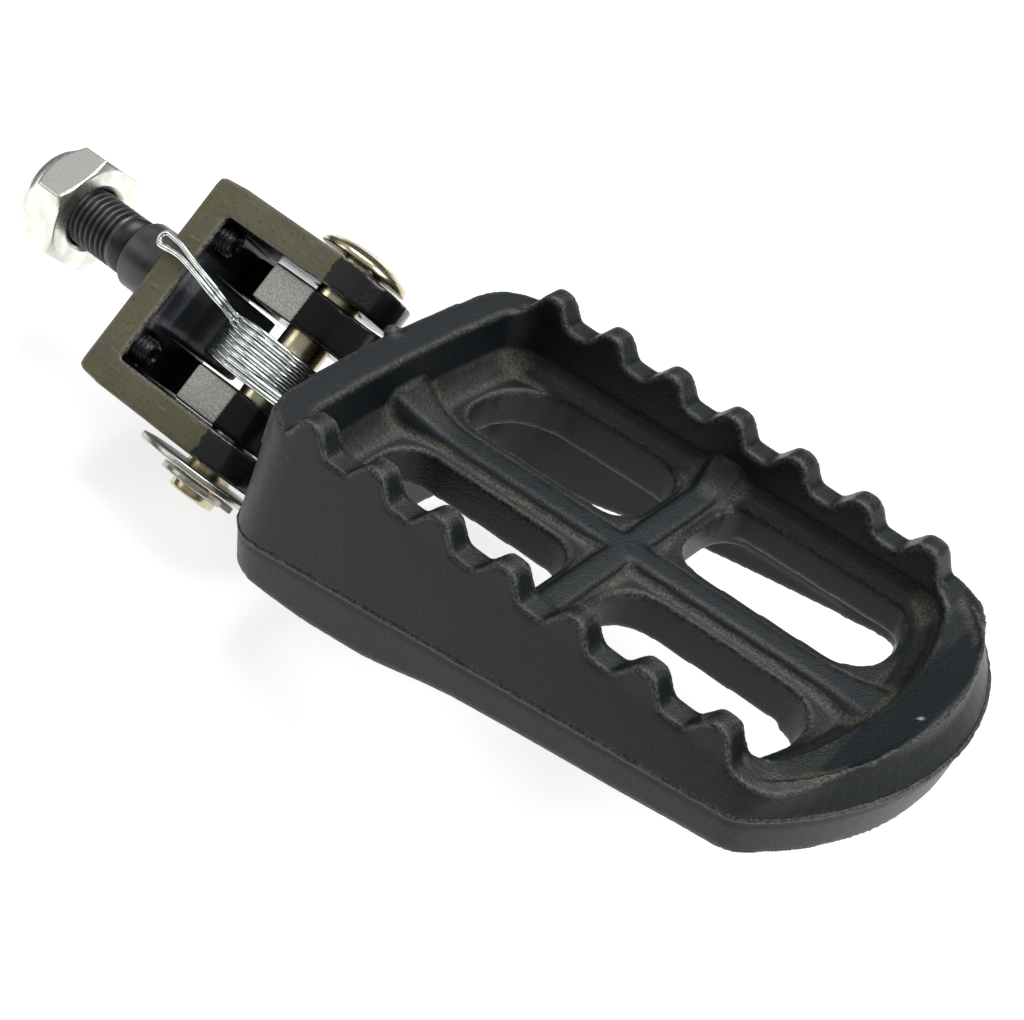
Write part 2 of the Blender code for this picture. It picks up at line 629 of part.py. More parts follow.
def build_screw(name, y, surface):
    inner, outer = SCREW_ENDS[1], SCREW_ENDS[0]
    place = CLEVIS_PLACE @ Matrix.Translation((0, MM * y, MM * SCREW_Z)) @ AXIS_TO_TIP
    screw = turned(name, [
        (0, inner), (SCREW_RADIUS - 0.8, inner), (SCREW_RADIUS, inner - 0.7), (SCREW_RADIUS, outer + 0.5),
        (SCREW_RADIUS - 0.5, outer), (0, outer),
    ], SMALL_STEPS, place)
    key = plate("key_cut", [arc(SCREW_KEY_ACROSS_FLATS / math.sqrt(3), 0, 300, 5)],
                outer - 1, outer + SCREW_KEY_DEPTH, place)
    combine(screw, key, "DIFFERENCE")
    as_piece(screw, surface)


build_peg()
build_clevis()
build_stud()
build_nut()
build_pin()
build_spring()
screw_black = material("screw_black", (0.03, 0.03, 0.03), 0.4, 0.7)
build_screw("stop_screw_near", SCREW_NEAR_Y, screw_black)
build_screw("stop_screw_far", SCREW_FAR_Y, screw_black)
tools.hide_render = True
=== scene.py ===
"""Looks for the folding foot peg: finer pieces over the CAD frame, materials, floor, lights and camera."""

import json
import math

import bmesh
import bpy
import numpy as np
from mathutils import Matrix, Vector

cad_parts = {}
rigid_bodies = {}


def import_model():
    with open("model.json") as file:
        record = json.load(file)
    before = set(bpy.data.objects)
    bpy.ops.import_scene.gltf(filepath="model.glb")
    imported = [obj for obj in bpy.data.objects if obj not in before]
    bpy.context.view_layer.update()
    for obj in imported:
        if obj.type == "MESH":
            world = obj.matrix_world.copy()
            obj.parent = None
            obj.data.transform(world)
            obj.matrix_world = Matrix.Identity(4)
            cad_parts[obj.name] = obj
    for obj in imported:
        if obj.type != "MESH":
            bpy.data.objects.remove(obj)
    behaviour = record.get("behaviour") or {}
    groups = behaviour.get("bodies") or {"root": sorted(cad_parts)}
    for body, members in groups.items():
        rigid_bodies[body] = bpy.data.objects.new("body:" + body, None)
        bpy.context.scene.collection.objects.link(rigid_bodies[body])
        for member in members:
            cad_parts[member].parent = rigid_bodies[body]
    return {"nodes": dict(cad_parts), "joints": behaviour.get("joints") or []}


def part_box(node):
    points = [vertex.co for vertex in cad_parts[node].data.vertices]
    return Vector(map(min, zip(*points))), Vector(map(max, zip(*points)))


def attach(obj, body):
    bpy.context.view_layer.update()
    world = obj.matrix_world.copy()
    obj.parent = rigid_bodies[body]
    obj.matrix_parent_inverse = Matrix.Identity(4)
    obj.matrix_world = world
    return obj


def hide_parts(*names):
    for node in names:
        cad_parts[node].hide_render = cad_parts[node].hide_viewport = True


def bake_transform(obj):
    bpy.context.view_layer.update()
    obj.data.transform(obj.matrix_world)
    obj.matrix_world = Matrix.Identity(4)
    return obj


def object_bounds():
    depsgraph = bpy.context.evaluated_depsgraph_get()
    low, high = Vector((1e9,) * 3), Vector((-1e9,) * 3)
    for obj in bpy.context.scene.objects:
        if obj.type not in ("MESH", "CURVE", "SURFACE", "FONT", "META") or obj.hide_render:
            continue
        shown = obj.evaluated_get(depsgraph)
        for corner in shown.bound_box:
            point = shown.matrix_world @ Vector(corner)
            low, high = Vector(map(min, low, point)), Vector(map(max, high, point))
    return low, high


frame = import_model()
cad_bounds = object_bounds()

MM = 0.001
JOINT = frame["joints"][0]
HINGE = Vector(JOINT["pos_m"])
MOUNT, PEG = JOINT["parent"], JOINT["child"]
STUD_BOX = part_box("mounting_stud")
NUT_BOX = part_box("lock_nut")
INSERT_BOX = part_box("nut_insert")

# Lengths from here to the floor's are in millimetres.

# the clevis's own axes: X along the stud, Y along the pin, Z square to its ground top face
PIN_AXIS = -Vector(JOINT["axis"]).normalized()
CLEVIS = Matrix.Translation(HINGE) @ Matrix.Rotation(math.atan2(PIN_AXIS.z, PIN_AXIS.y), 4, "X")
TO_CLEVIS = np.array(CLEVIS.inverted())
ALONG_PIN = CLEVIS @ Matrix.Rotation(math.radians(-90), 4, "X")
ALONG_STUD = Matrix.Rotation(math.radians(90), 4, "Y")

# tray axes: origin under the first tooth's crest, at the height of the tooth tops
TRAY_X = 84.1
TRAY_Z = 19.9

# tray outlines: half width, tip, tip arc, tip corner, mount end, mount arc, mount corner
TRAY_FLOOR = (25.0, 82.9, 60.0, 6.0, -3.6, 290.0, 5.0)
BOTTOM_OUTLINE = (31.0, 93.5, 42.0, 5.0, -11.6, 290.0, 9.0)
PARTING_OUTLINE = (31.8, 94.3, 42.0, 5.0, -12.3, 290.0, 9.5)
RIM_OUTLINE = (30.2, 90.4, 56.0, 8.5, -10.6, 290.0, 9.5)
CREST_OUTLINE = (29.9, 89.7, 56.0, 8.5, -10.3, 290.0, 9.5)

# tray levels, measured from the tooth tops, some as (x, level) points
BOTTOM_LINE = ((-13, -32.0), (2, -32.0), (9, -31.4), (21, -29.3), (33, -25.1),
               (48, -21.9), (64, -18.8), (77, -16.0), (95, -14.5))
TOP_LINE = ((-13, -4.8), (79.0, -4.8), (80.0, -4.55), (83.0, -4.15),
            (86.0, -3.05), (90.0, -1.45), (120, -1.45))
RIM_RING_LEVEL = -3.45
CREST_LEVEL = 1.2
DECK_AT_FIRST_TOOTH = -13.5
DECK_SLOPE = 0.06
PARTING_AT_FIRST_TOOTH = -23.7
PARTING_SLOPE = 0.184
SKIN_CENTRE = np.array([30.0, 0.0])
SKIN_THICKNESS = 3.2
SKIN_LIFT = 0.15

# casting details in tray axes; the fillet's sections are (reach into the tray, height over the deck)
FILLET_SIDE = ((-1.2, -5.0), (-1.2, 4.0), (-0.4, 3.9), (0.1, 3.2), (0.7, 2.2),
               (1.5, 1.3), (2.2, 0.85), (2.5, 0.5), (2.5, -5.0))
FILLET_END = ((-1.4, -5.0), (-1.4, 3.5), (-0.5, 3.4), (0.1, 2.6), (0.8, 1.7),
              (1.7, 0.9), (2.9, 0.3), (4.0, -0.2), (4.0, -5.0))
RIDGE_ROOT = -4.0
RIDGE_FOOT = -0.2
CROSS_RIDGE_X = 39.2
BUMP = (-10.6, 2.2, -4.6)
BUMP_RADIUS = 1.5
NICK = (88.1, -2.9, -1.9)
NICK_RADIUS = 0.55
BEAD_RADIUS = 0.36
BEAD_INSET = 0.42
BEAD_POINTS = 900
BEAD_WOBBLE = {"thick": 0.07, "out": 0.05, "up": 0.07}
WALL_INSET = 0.30
GROOVE_DEPTH = 0.14
GROOVE_BELOW_PARTING = 0.9
BAND_HALF_WIDTH = 0.5

# where the casting's looks change: its outside and deck in tray axes, its lugs in clevis axes
OUTSIDE_Y = 27
OUTSIDE_TIP_X = 78
OUTSIDE_MOUNT_X = -8.5
CLEAR_OF_LUGS = (13, 17)
DECK_SPAN = (-6, 86)
LUG_END_X = 15.5
LUG_FADE = 4.0
LUG_HALF_WIDTH = 16
PAD_SPAN = (-8.4, 0.5)
PAD_LEVELS = (8.75, 8.95)

# where the clevis's looks change, in its own axes; the saddle is where painted light goes
GROUND_LEVELS = (10.0, 10.3)
GROUND_END_X = 2.0
SADDLE_HALF_WIDTH = 7.5
SADDLE_SPAN = (-19.8, -11)
SADDLE_TOP = 9.5

# voxel sizes and smoothing rounds of the cast pieces
PEG_CAST = (0.40, 5)
CLEVIS_CAST = (0.33, 4)
CLIP_CAST = (0.16, 4)

# stud; its ends and steps are places along X
STUD_RADIUS = 5.12
STUD_PITCH = 1.25
STUD_THREAD_DEPTH = 0.72
THREAD_END = 19.6
SHANK_START = 22.6
SHANK_END = 23.0
SHANK_RADIUS = 5.05
COLLAR_END = 32.2
COLLAR_RADIUS = 6.12
SPIGOT_RADIUS = 4.3

# nut, its lengths counted back along X from its bearing face; NUT_TURN is an angle
NUT_FLATS = 18.4
NUT_TURN = math.radians(50.2)
NUT_CORNER = NUT_FLATS / math.sqrt(3)
HEX_LENGTH = 7.2
NUT_BORE = 5.5
INSERT_SEAT = 6.2
INSERT_BORE = 5.55
INSERT_GAP = 0.05

# pin, washer and stop screws; their ends and grooves are places along the pin or screw, in clevis axes
PIN_RADIUS = 4.0
PIN_HEAD = 20.3
PIN_TOP = 23.25
PIN_END = -25.15
CLIP_GROOVE = (-22.4, -23.7)
CLIP_GROOVE_RADIUS = 3.15
WASHER_RADIUS = 12.05
WASHER_BORE = 4.35
SCREW_ENDS = (-24.4, -16.7)
SCREW_RADIUS = 2.42
SCREW_PITCH = 0.8
SCREW_THREAD_DEPTH = 0.42
SOCKET_RADIUS = 1.25
SCREW_Z = 6.8
SCREW_SIDES = {"stop_screw_near": -10.8, "stop_screw_far": 11.2}

# return spring in clevis axes
CLEVIS_TOP = 10.5
WIRE_RADIUS = 0.5
WIRE_SIDES = 14
WIRE_GAP = 0.3
STRAND_STEP = 1.07
COIL_TURNS = 3
COIL_X = -2.2
COIL_RADIUS = 9.85
COIL_FAR_Y = 2.45
PAIR_GAP = 1.15
BIGHT_X = -25.2
BIGHT_Y = 5.2
BIGHT_RADIUS = 1.1

# floor, in metres
FLOOR_HALF = 6.0
FLOOR_GAP = 0.0006
FLOOR_GREY = 0.42
FLOOR_GLOW = 0.76

# room light: its strength, and (upward share of the direction, colour) where it is dimmest and brightest
ROOM_LIGHT = 0.46
HORIZON = (0.12, (0.07, 0.075, 0.08, 1))
OVERHEAD = (0.85, (0.95, 0.97, 1.0, 1))

# softboxes: name, place and side in metres, power in watts
SOFTBOXES = (
    ("top_softbox", (0.02, 0.28, 0.85), 0.62, 6.6),
    ("left_softbox", (-0.55, -0.45, 0.55), 0.40, 0.8),
    ("right_softbox", (0.80, 0.10, 0.55), 0.45, 3.6),
)
LIGHT_TARGET = Vector((0.11, 0, 0))

# camera: place in metres, directions to its right and behind it, lens and sensor in millimetres
CAMERA_PLACE = Vector((0.21145, -0.19963, 0.18601))
CAMERA_RIGHT = Vector((0.75123, 0.61843, 0.23064))
CAMERA_BACK = Vector((0.36974, -0.68376, 0.6291))
CAMERA_LENS = 68.53
CAMERA_SENSOR = 36

rng = np.random.default_rng(7)


# ---------------------------------------------------------------- meshes
def mesh_object(name, points, faces):
    """A smooth-shaded mesh object from points in metres."""
    mesh = bpy.data.meshes.new(name)
    mesh.from_pydata([tuple(map(float, p)) for p in points], [], faces)
    mesh.update()
    mesh.polygons.foreach_set("use_smooth", [True] * len(mesh.polygons))
    obj = bpy.data.objects.new(name, mesh)
    bpy.context.scene.collection.objects.link(obj)
    return obj


def face_outward(mesh, weld=False):
    """Turns every face outward, after welding points that coincide where weld is set."""
    work = bmesh.new()
    work.from_mesh(mesh)
    if weld:
        bmesh.ops.remove_doubles(work, verts=work.verts, dist=1e-7)
    bmesh.ops.recalc_face_normals(work, faces=work.faces)
    work.to_mesh(mesh)
    work.free()


def joined(meshes, name):
    """One mesh that holds all the given ones."""
    mesh = bpy.data.meshes.new(name)
    work = bmesh.new()
    for source in meshes:
        work.from_mesh(source)
    work.to_mesh(mesh)
    work.free()
    return mesh


def mesh_of(obj):
    """The mesh of an object that is no longer needed."""
    mesh = obj.data
    bpy.data.objects.remove(obj, do_unlink=True)
    return mesh


def band_faces(ring_count, ring_size, closed):
    """Quads between neighbouring rings, and from the last ring to the first where closed."""
    faces = []
    for r in range(ring_count if closed else ring_count - 1):
        a, b = r * ring_size, (r + 1) % ring_count * ring_size
        for i in range(ring_size):
            j = (i + 1) % ring_size
            faces.append((a + i, a + j, b + j, b + i))
    return faces


def grid_solid(name, rings, place, close_ends=True):
    """A skin over rings of points, with a fan of faces over each end where close_ends is set."""
    count = len(rings[0])
    points = [place @ Vector(p) for ring in rings for p in ring]
    faces = band_faces(len(rings), count, False)
    if close_ends:
        for base, flip in ((0, True), ((len(rings) - 1) * count, False)):
            centre = sum((points[base + i] for i in range(count)), Vector()) / count
            points.append(centre)
            hub = len(points) - 1
            for i in range(count):
                j = (i + 1) % count
                faces.append((base + j, base + i, hub) if flip else (base + i, base + j, hub))
    obj = mesh_object(name, points, faces)
    face_outward(obj.data)
    return obj


def closed_tube(rings):
    """A mesh through closed rings that join up end to end."""
    points = [p for ring in rings for p in ring]
    mesh = mesh_of(mesh_object("tube", points, band_faces(len(rings), len(rings[0]), True)))
    face_outward(mesh)
    return mesh


def lathe(name, profile, steps, place, shape=None, ring=False):
    """A turned solid about the place's Z from (radius, height) points.

    shape(angle, radius, height) gives each point's own radius. A ring's profile runs back to where it starts.
    """
    rings = []
    for radius, height in profile:
        row = []
        for k in range(steps):
            angle = math.tau * k / steps
            r = shape(angle, radius, height) if shape else radius
            row.append((MM * r * math.cos(angle), MM * r * math.sin(angle), MM * height))
        rings.append(row)
    if ring:
        rings.append(rings[0])
    obj = grid_solid(name, rings, place, close_ends=not ring)
    if ring:
        face_outward(obj.data, weld=True)
    return obj


def fillet_profile(corners, steps=5):
    """(radius, height) points through (radius, height, rounding) corners, with no rounding at either end."""
    out = [corners[0][:2]]
    for before, here, after in zip(corners, corners[1:], corners[2:]):
        p, size = Vector(here[:2]), here[2]
        a = p + (Vector(before[:2]) - p).normalized() * size
        b = p + (Vector(after[:2]) - p).normalized() * size
        for k in range(steps + 1):
            t = k / steps
            out.append(tuple(a * (1 - t) ** 2 + p * 2 * t * (1 - t) + b * t * t))
    out.append(corners[-1][:2])
    return out


def evaluated_copy(obj, name):
    """A new object holding the evaluated mesh of obj, which is then removed."""
    bpy.context.view_layer.update()
    graph = bpy.context.evaluated_depsgraph_get()
    mesh = bpy.data.meshes.new_from_object(obj.evaluated_get(graph))
    made = bpy.data.objects.new(name, mesh)
    bpy.context.scene.collection.objects.link(made)
    bpy.data.objects.remove(obj, do_unlink=True)
    return made


def neighbours(mesh):
    """Both ends of every edge, each way round, and how many edges each vertex has."""
    edges = np.empty(len(mesh.edges) * 2, np.int64)
    mesh.edges.foreach_get("vertices", edges)
    edges = edges.reshape(-1, 2)
    start = np.concatenate([edges[:, 0], edges[:, 1]])
    end = np.concatenate([edges[:, 1], edges[:, 0]])
    return start, end, np.maximum(np.bincount(start, minlength=len(mesh.vertices)), 1)


def average(values, links):
    """The mean of each vertex's neighbours."""
    start, end, count = links
    if values.ndim == 1:
        return np.bincount(start, values[end], len(values)) / count
    return np.stack([average(column, links) for column in values.T], 1)


def coordinates(mesh):
    """Every vertex's place, in metres."""
    out = np.empty(len(mesh.vertices) * 3)
    mesh.vertices.foreach_get("co", out)
    return out.reshape(-1, 3)


def normals(mesh):
    """Every vertex's normal."""
    out = np.empty(len(mesh.vertices) * 3)
    mesh.vertices.foreach_get("normal", out)
    return out.reshape(-1, 3)


def in_clevis(where, facing):
    """Places as X, Y and Z in the clevis's axes, in millimetres, and normals turned to those axes."""
    turn = TO_CLEVIS[:3, :3].T
    return *((where @ turn + TO_CLEVIS[:3, 3]) / MM).T, facing @ turn


def store(mesh, name, values):
    """Keeps a value from 0 to 1 at each vertex, for a material to read."""
    layer = mesh.attributes.get(name) or mesh.attributes.new(name, "FLOAT", "POINT")
    layer.data.foreach_set("value", np.clip(values, 0, 1).astype(np.float32))


def ramped(values, low, high):
    """0 at low, 1 at high, straight between and level beyond."""
    return np.clip((values - low) / (high - low), 0, 1)


def cast(name, sources, voxel, rounds):
    """One smooth skin round several overlapping solids, like a casting's, with its edges eased."""
    raw = bpy.data.objects.new(name + "_raw", joined(sources, name + "_raw"))
    bpy.context.scene.collection.objects.link(raw)
    step = raw.modifiers.new("skin", "REMESH")
    step.mode = "VOXEL"
    step.voxel_size = voxel * MM
    step.use_smooth_shade = True
    obj = evaluated_copy(raw, name)
    links = neighbours(obj.data)
    where = coordinates(obj.data)
    for _ in range(rounds):
        where += 0.5 * (average(where, links) - where)
    obj.data.vertices.foreach_set("co", where.ravel())
    obj.data.update()
    return obj


def curvature(mesh, rounds):
    """How sharply each vertex stands proud (above 0) or sits in a hollow (below 0), in 1/mm."""
    links = neighbours(mesh)
    where, facing = coordinates(mesh), normals(mesh)
    lengths = np.linalg.norm(where[links[0]] - where[links[1]], axis=1)
    spacing = np.bincount(links[0], lengths, len(where)) / links[2]
    bend = -np.einsum("ij,ij->i", average(where, links) - where, facing) / spacing ** 2 * MM * 4
    for _ in range(rounds):
        bend = 0.5 * (bend + average(bend, links))
    return bend


# ---------------------------------------------------------------- materials
class Surface:
    """A Principled material and the few nodes that drive it."""

    def __init__(self, name, roughness, metallic=0.0, **fixed):
        self.material = bpy.data.materials.new(name)
        self.material.use_nodes = True
        self.tree = self.material.node_tree
        self.shader = self.tree.nodes["Principled BSDF"]
        self.shader.inputs["Roughness"].default_value = roughness
        self.shader.inputs["Metallic"].default_value = metallic
        for socket, value in fixed.items():
            self.shader.inputs[socket.replace("_", " ")].default_value = value
        self.coords = self.tree.nodes.new("ShaderNodeTexCoord").outputs["Object"]

    def link(self, value, socket):
        """Feeds a socket from another socket, a colour or a number."""
        if isinstance(value, bpy.types.NodeSocket):
            self.tree.links.new(value, socket)
        elif isinstance(value, tuple):
            is_colour = len(value) == 3 and len(socket.default_value) == 4
            socket.default_value = (*value, 1) if is_colour else value
        else:
            socket.default_value = value

    def set(self, socket, value):
        """Feeds one of the shader's own sockets."""
        self.link(value, self.shader.inputs[socket])

    def stretched(self, scale, turn=(0, 0, 0)):
        """Object coordinates, turned and scaled."""
        node = self.tree.nodes.new("ShaderNodeMapping")
        self.tree.links.new(self.coords, node.inputs["Vector"])
        node.inputs["Rotation"].default_value = turn
        node.inputs["Scale"].default_value = scale
        return node.outputs["Vector"]

    def noise(self, size_mm, detail, rough, vector=None):
        """A random value that changes over about this many millimetres."""
        node = self.tree.nodes.new("ShaderNodeTexNoise")
        self.tree.links.new(vector or self.coords, node.inputs["Vector"])
        node.inputs["Scale"].default_value = 1 / (size_mm * MM)
        node.inputs["Detail"].default_value = detail
        node.inputs["Roughness"].default_value = rough
        return node.outputs["Fac"]

    def attribute(self, name):
        """A value that store kept at the vertices."""
        node = self.tree.nodes.new("ShaderNodeAttribute")
        node.attribute_name = name
        return node.outputs["Fac"]

    def between(self, value, low, high, to_low=0.0, to_high=1.0):
        """The value carried from the range low..high to to_low..to_high, and held there beyond it."""
        node = self.tree.nodes.new("ShaderNodeMapRange")
        self.link(value, node.inputs["Value"])
        node.inputs["From Min"].default_value = low
        node.inputs["From Max"].default_value = high
        node.inputs["To Min"].default_value = to_low
        node.inputs["To Max"].default_value = to_high
        return node.outputs["Result"]

    def math(self, kind, a, b):
        """Arithmetic on two values, each a socket or a number."""
        node = self.tree.nodes.new("ShaderNodeMath")
        node.operation = kind
        self.link(a, node.inputs[0])
        self.link(b, node.inputs[1])
        return node.outputs[0]

    def mix(self, share, a, b):
        """Colour a, with this share of colour b."""
        node = self.tree.nodes.new("ShaderNodeMix")
        node.data_type = "RGBA"
        self.link(share, node.inputs["Factor"])
        first, second = (socket for socket in node.inputs if socket.type == "RGBA")
        self.link(a, first)
        self.link(b, second)
        return next(socket for socket in node.outputs if socket.type == "RGBA")

    def bump(self, height, strength, depth_mm, under=None):
        """A bumped normal, on top of the one given as under."""
        node = self.tree.nodes.new("ShaderNodeBump")
        node.inputs["Strength"].default_value = strength
        node.inputs["Distance"].default_value = depth_mm * MM
        self.link(height, node.inputs["Height"])
        if under:
            self.tree.links.new(under, node.inputs["Normal"])
        return node.outputs["Normal"]


def peg_coat():
    """Black powder coat: sand-grained in the cast fillets, with painted light lifting the up-facing ones,
    rubbed on its edges, bare on the lugs' cut pads.
    """
    s = Surface("peg_coat", roughness=0.5, Specular_IOR_Level=0.28)
    worn, hollow, nick = s.attribute("worn"), s.attribute("hollow"), s.attribute("nick")
    pad, lug = s.attribute("pad"), s.attribute("lug")
    grain = s.noise(0.30, 2, 0.5)
    coarse = s.noise(0.46, 3, 0.6)
    patches = s.noise(14, 3, 0.5)
    base = s.mix(patches, (0.0034, 0.0058, 0.0076), (0.0072, 0.0102, 0.0122))
    speckled = s.between(coarse, 0.36, 0.68)
    # painted light: up-facing hollows get a pale sand-grained colour; the grain is the coat's own, the pale
    # tone stands in for the light the fillets catch
    sandy_and_lit = s.mix(speckled, (0.018, 0.0185, 0.0155), (0.090, 0.085, 0.062))
    lit_sandy_band = s.math("MULTIPLY", hollow, s.between(s.noise(5, 2, 0.5), 0.25, 0.6, 0.5, 1.0))
    colour = s.mix(lit_sandy_band, base, sandy_and_lit)
    rubbed = s.math("MULTIPLY", worn, s.between(coarse, 0.40, 0.62, 0.15, 1.0))
    colour = s.mix(rubbed, colour, (0.080, 0.081, 0.068))
    colour = s.mix(lug, colour, (0.004, 0.004, 0.004))
    bare = s.mix(s.between(grain, 0.35, 0.7), (0.24, 0.24, 0.215), (0.44, 0.44, 0.40))
    colour = s.mix(pad, colour, bare)
    colour = s.mix(nick, colour, (0.50, 0.51, 0.50))
    s.set("Base Color", colour)
    rough = s.between(grain, 0.3, 0.7, 0.34, 0.47)
    rough = s.math("ADD", rough, s.math("MULTIPLY", lug, -0.22))
    rough = s.math("ADD", rough, s.math("MULTIPLY", pad, 0.32))
    s.set("Roughness", rough)
    lumps = s.math("MULTIPLY", coarse, s.math("ADD", s.math("MULTIPLY", hollow, 1.4), 0.7))
    off_lug = s.math("SUBTRACT", 1.0, s.math("MULTIPLY", lug, 0.85))
    relief = s.math("MULTIPLY", s.math("ADD", grain, lumps), off_lug)
    s.set("Normal", s.bump(relief, 0.60, 0.12))
    return s.material


def clevis_finish():
    """Gloss black paint, with a ground olive top face that has specks and scratches, and painted light on the
    saddle between the lugs.
    """
    s = Surface("clevis_finish", roughness=0.3, Specular_IOR_Level=0.6)
    ground, edge, saddle = s.attribute("ground"), s.attribute("edge"), s.attribute("saddle")
    patches = s.noise(9, 4, 0.6)
    specks = s.noise(0.45, 3, 0.7)
    scratch_turn = (math.radians(25), 0, math.radians(14))
    scratch_lines = s.noise(0.5, 4, 0.6, s.stretched((0.12, 1, 1), scratch_turn))
    smear = s.between(s.noise(4, 5, 0.7), 0.38, 0.62)
    olive = s.mix(patches, (0.060, 0.052, 0.022), (0.150, 0.145, 0.105))
    olive = s.mix(s.math("MULTIPLY", smear, 0.6), olive, (0.120, 0.104, 0.040))
    olive = s.mix(s.between(specks, 0.55, 0.72), olive, (0.030, 0.028, 0.016))
    olive = s.mix(s.between(scratch_lines, 0.60, 0.72, 0.0, 0.6), olive, (0.24, 0.23, 0.18))
    ragged = s.math("ADD", ground, s.between(s.noise(1.1, 4, 0.7), 0.3, 0.7, -0.45, 0.25))
    ground = s.between(ragged, 0.42, 0.55)
    black = s.mix(s.between(s.noise(6, 3, 0.5), 0.4, 0.7), (0.004, 0.004, 0.004), (0.012, 0.012, 0.011))
    # painted light: the saddle is painted blue-grey over the black, for the light that falls on it
    black = s.mix(saddle, black, (0.020, 0.024, 0.030))
    colour = s.mix(ground, black, olive)
    chipped = s.math("MULTIPLY", edge, s.between(specks, 0.4, 0.6, 0.3, 1.0))
    s.set("Base Color", s.mix(chipped, colour, (0.21, 0.20, 0.16)))
    rough = s.between(specks, 0.3, 0.7, 0.16, 0.26)
    s.set("Roughness", s.math("ADD", rough, s.math("MULTIPLY", ground, 0.30)))
    s.set("Metallic", s.math("MULTIPLY", ground, 0.30))
    relief = s.math("ADD", s.noise(0.7, 3, 0.6), s.math("MULTIPLY", scratch_lines, 0.6))
    first = s.bump(relief, 0.30, 0.10)
    s.set("Normal", s.bump(s.noise(7, 2, 0.5), 0.25, 0.5, first))
    return s.material


def plated(name, light, dark, roughness, size_mm):
    """Bright zinc plating with a faint mottled tint and fine handling marks."""
    s = Surface(name, roughness=roughness, metallic=1.0)
    clouds = s.noise(size_mm, 4, 0.6)
    marks = s.noise(0.35, 3, 0.6)
    s.set("Base Color", s.mix(s.between(clouds, 0.3, 0.7), light, dark))
    rough = s.between(clouds, 0.3, 0.7, roughness - 0.06, roughness + 0.08)
    s.set("Roughness", s.math("ADD", rough, s.between(marks, 0.55, 0.8, 0.0, 0.12)))
    s.set("Normal", s.bump(marks, 0.12, 0.05, s.bump(clouds, 0.10, 0.12)))
    return s.material


def black_oxide(name, light, dark, roughness):
    """Blackened steel with fine turning lines, greyer where it is worn."""
    s = Surface(name, roughness=roughness, metallic=0.55)
    clouds = s.noise(3.5, 4, 0.6)
    lines = s.noise(0.3, 3, 0.6, s.stretched((6, 1, 1)))
    worn = s.attribute("worn")
    colour = s.mix(s.between(clouds, 0.35, 0.7), dark, light)
    s.set("Base Color", s.mix(s.math("MULTIPLY", worn, 0.8), colour, (0.20, 0.195, 0.185)))
    s.set("Roughness", s.between(clouds, 0.3, 0.7, roughness - 0.07, roughness + 0.08))
    s.set("Normal", s.bump(lines, 0.18, 0.05))
    return s.material


def nylon():
    """The lock nut's pale nylon ring."""
    s = Surface("nylon", roughness=0.5)
    clouds = s.noise(2.0, 3, 0.5)
    s.set("Base Color", s.mix(clouds, (0.55, 0.55, 0.47), (0.70, 0.70, 0.63)))
    s.set("Roughness", s.between(clouds, 0.3, 0.7, 0.42, 0.58))
    s.set("Normal", s.bump(s.noise(0.4, 3, 0.6), 0.15, 0.05))
    return s.material


def finish_piece(obj, material, body, node):
    """Gives a piece its material, hides the CAD node it stands for and, where a body is given, attaches the
    piece to it.
    """
    obj.data.materials.clear()
    obj.data.materials.append(material)
    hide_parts(node)
    if body:
        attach(obj, body)


# ---------------------------------------------------------------- peg casting
def tray_half_outline(half_width, tip, tip_arc, tip_corner, mount, mount_arc, mount_corner):
    """One side of a tray outline, from the middle of the tip to the middle of the mount end."""
    corner_steps, side_steps = 8, 40

    def end(end_x, big, small, direction, steps):
        centre_x = end_x - direction * big
        corner_y = half_width - small
        corner_x = centre_x + direction * math.sqrt((big - small) ** 2 - corner_y ** 2)
        meeting = math.asin(corner_y / (big - small))
        points = []
        for k in range(steps + 1):
            angle = meeting * k / steps
            points.append((centre_x + direction * big * math.cos(angle), big * math.sin(angle)))
        for k in range(1, corner_steps + 1):
            angle = meeting + (math.pi / 2 - meeting) * k / corner_steps
            x = corner_x + direction * small * math.cos(angle)
            points.append((x, corner_y + small * math.sin(angle)))
        return points

    tip_side = end(tip, tip_arc, tip_corner, 1, 12)
    mount_side = end(mount, mount_arc, mount_corner, -1, 8)[::-1]
    x0, x1 = tip_side[-1][0], mount_side[0][0]
    side = [(x0 + (x1 - x0) * k / side_steps, half_width) for k in range(1, side_steps)]
    return tip_side + side + mount_side


def deck(x):
    """The deck's level."""
    return DECK_AT_FIRST_TOOTH + DECK_SLOPE * x


def parting(x):
    """The level at which the casting's two mould halves met."""
    return PARTING_AT_FIRST_TOOTH + PARTING_SLOPE * x


def tray_point(x, y, z):
    """A point of the tray's axes, in metres."""
    return (MM * (x + TRAY_X), MM * y, MM * (z + TRAY_Z))


def across_outline(outline):
    """Level unit vectors square to a closed outline, to its outer side."""
    ahead = np.roll(outline, -1, 0) - np.roll(outline, 1, 0)
    ahead /= np.linalg.norm(ahead, axis=1)[:, None]
    outward = np.stack([ahead[:, 1], -ahead[:, 0]], 1)
    return -outward if outward[0, 0] < 0 else outward


def whole_outline(sizes):
    """A closed tray outline: the half that tray_half_outline gives, and its mirror image."""
    half = tray_half_outline(*sizes)
    return np.array(half + [(x, -y) for x, y in half[-2:0:-1]])


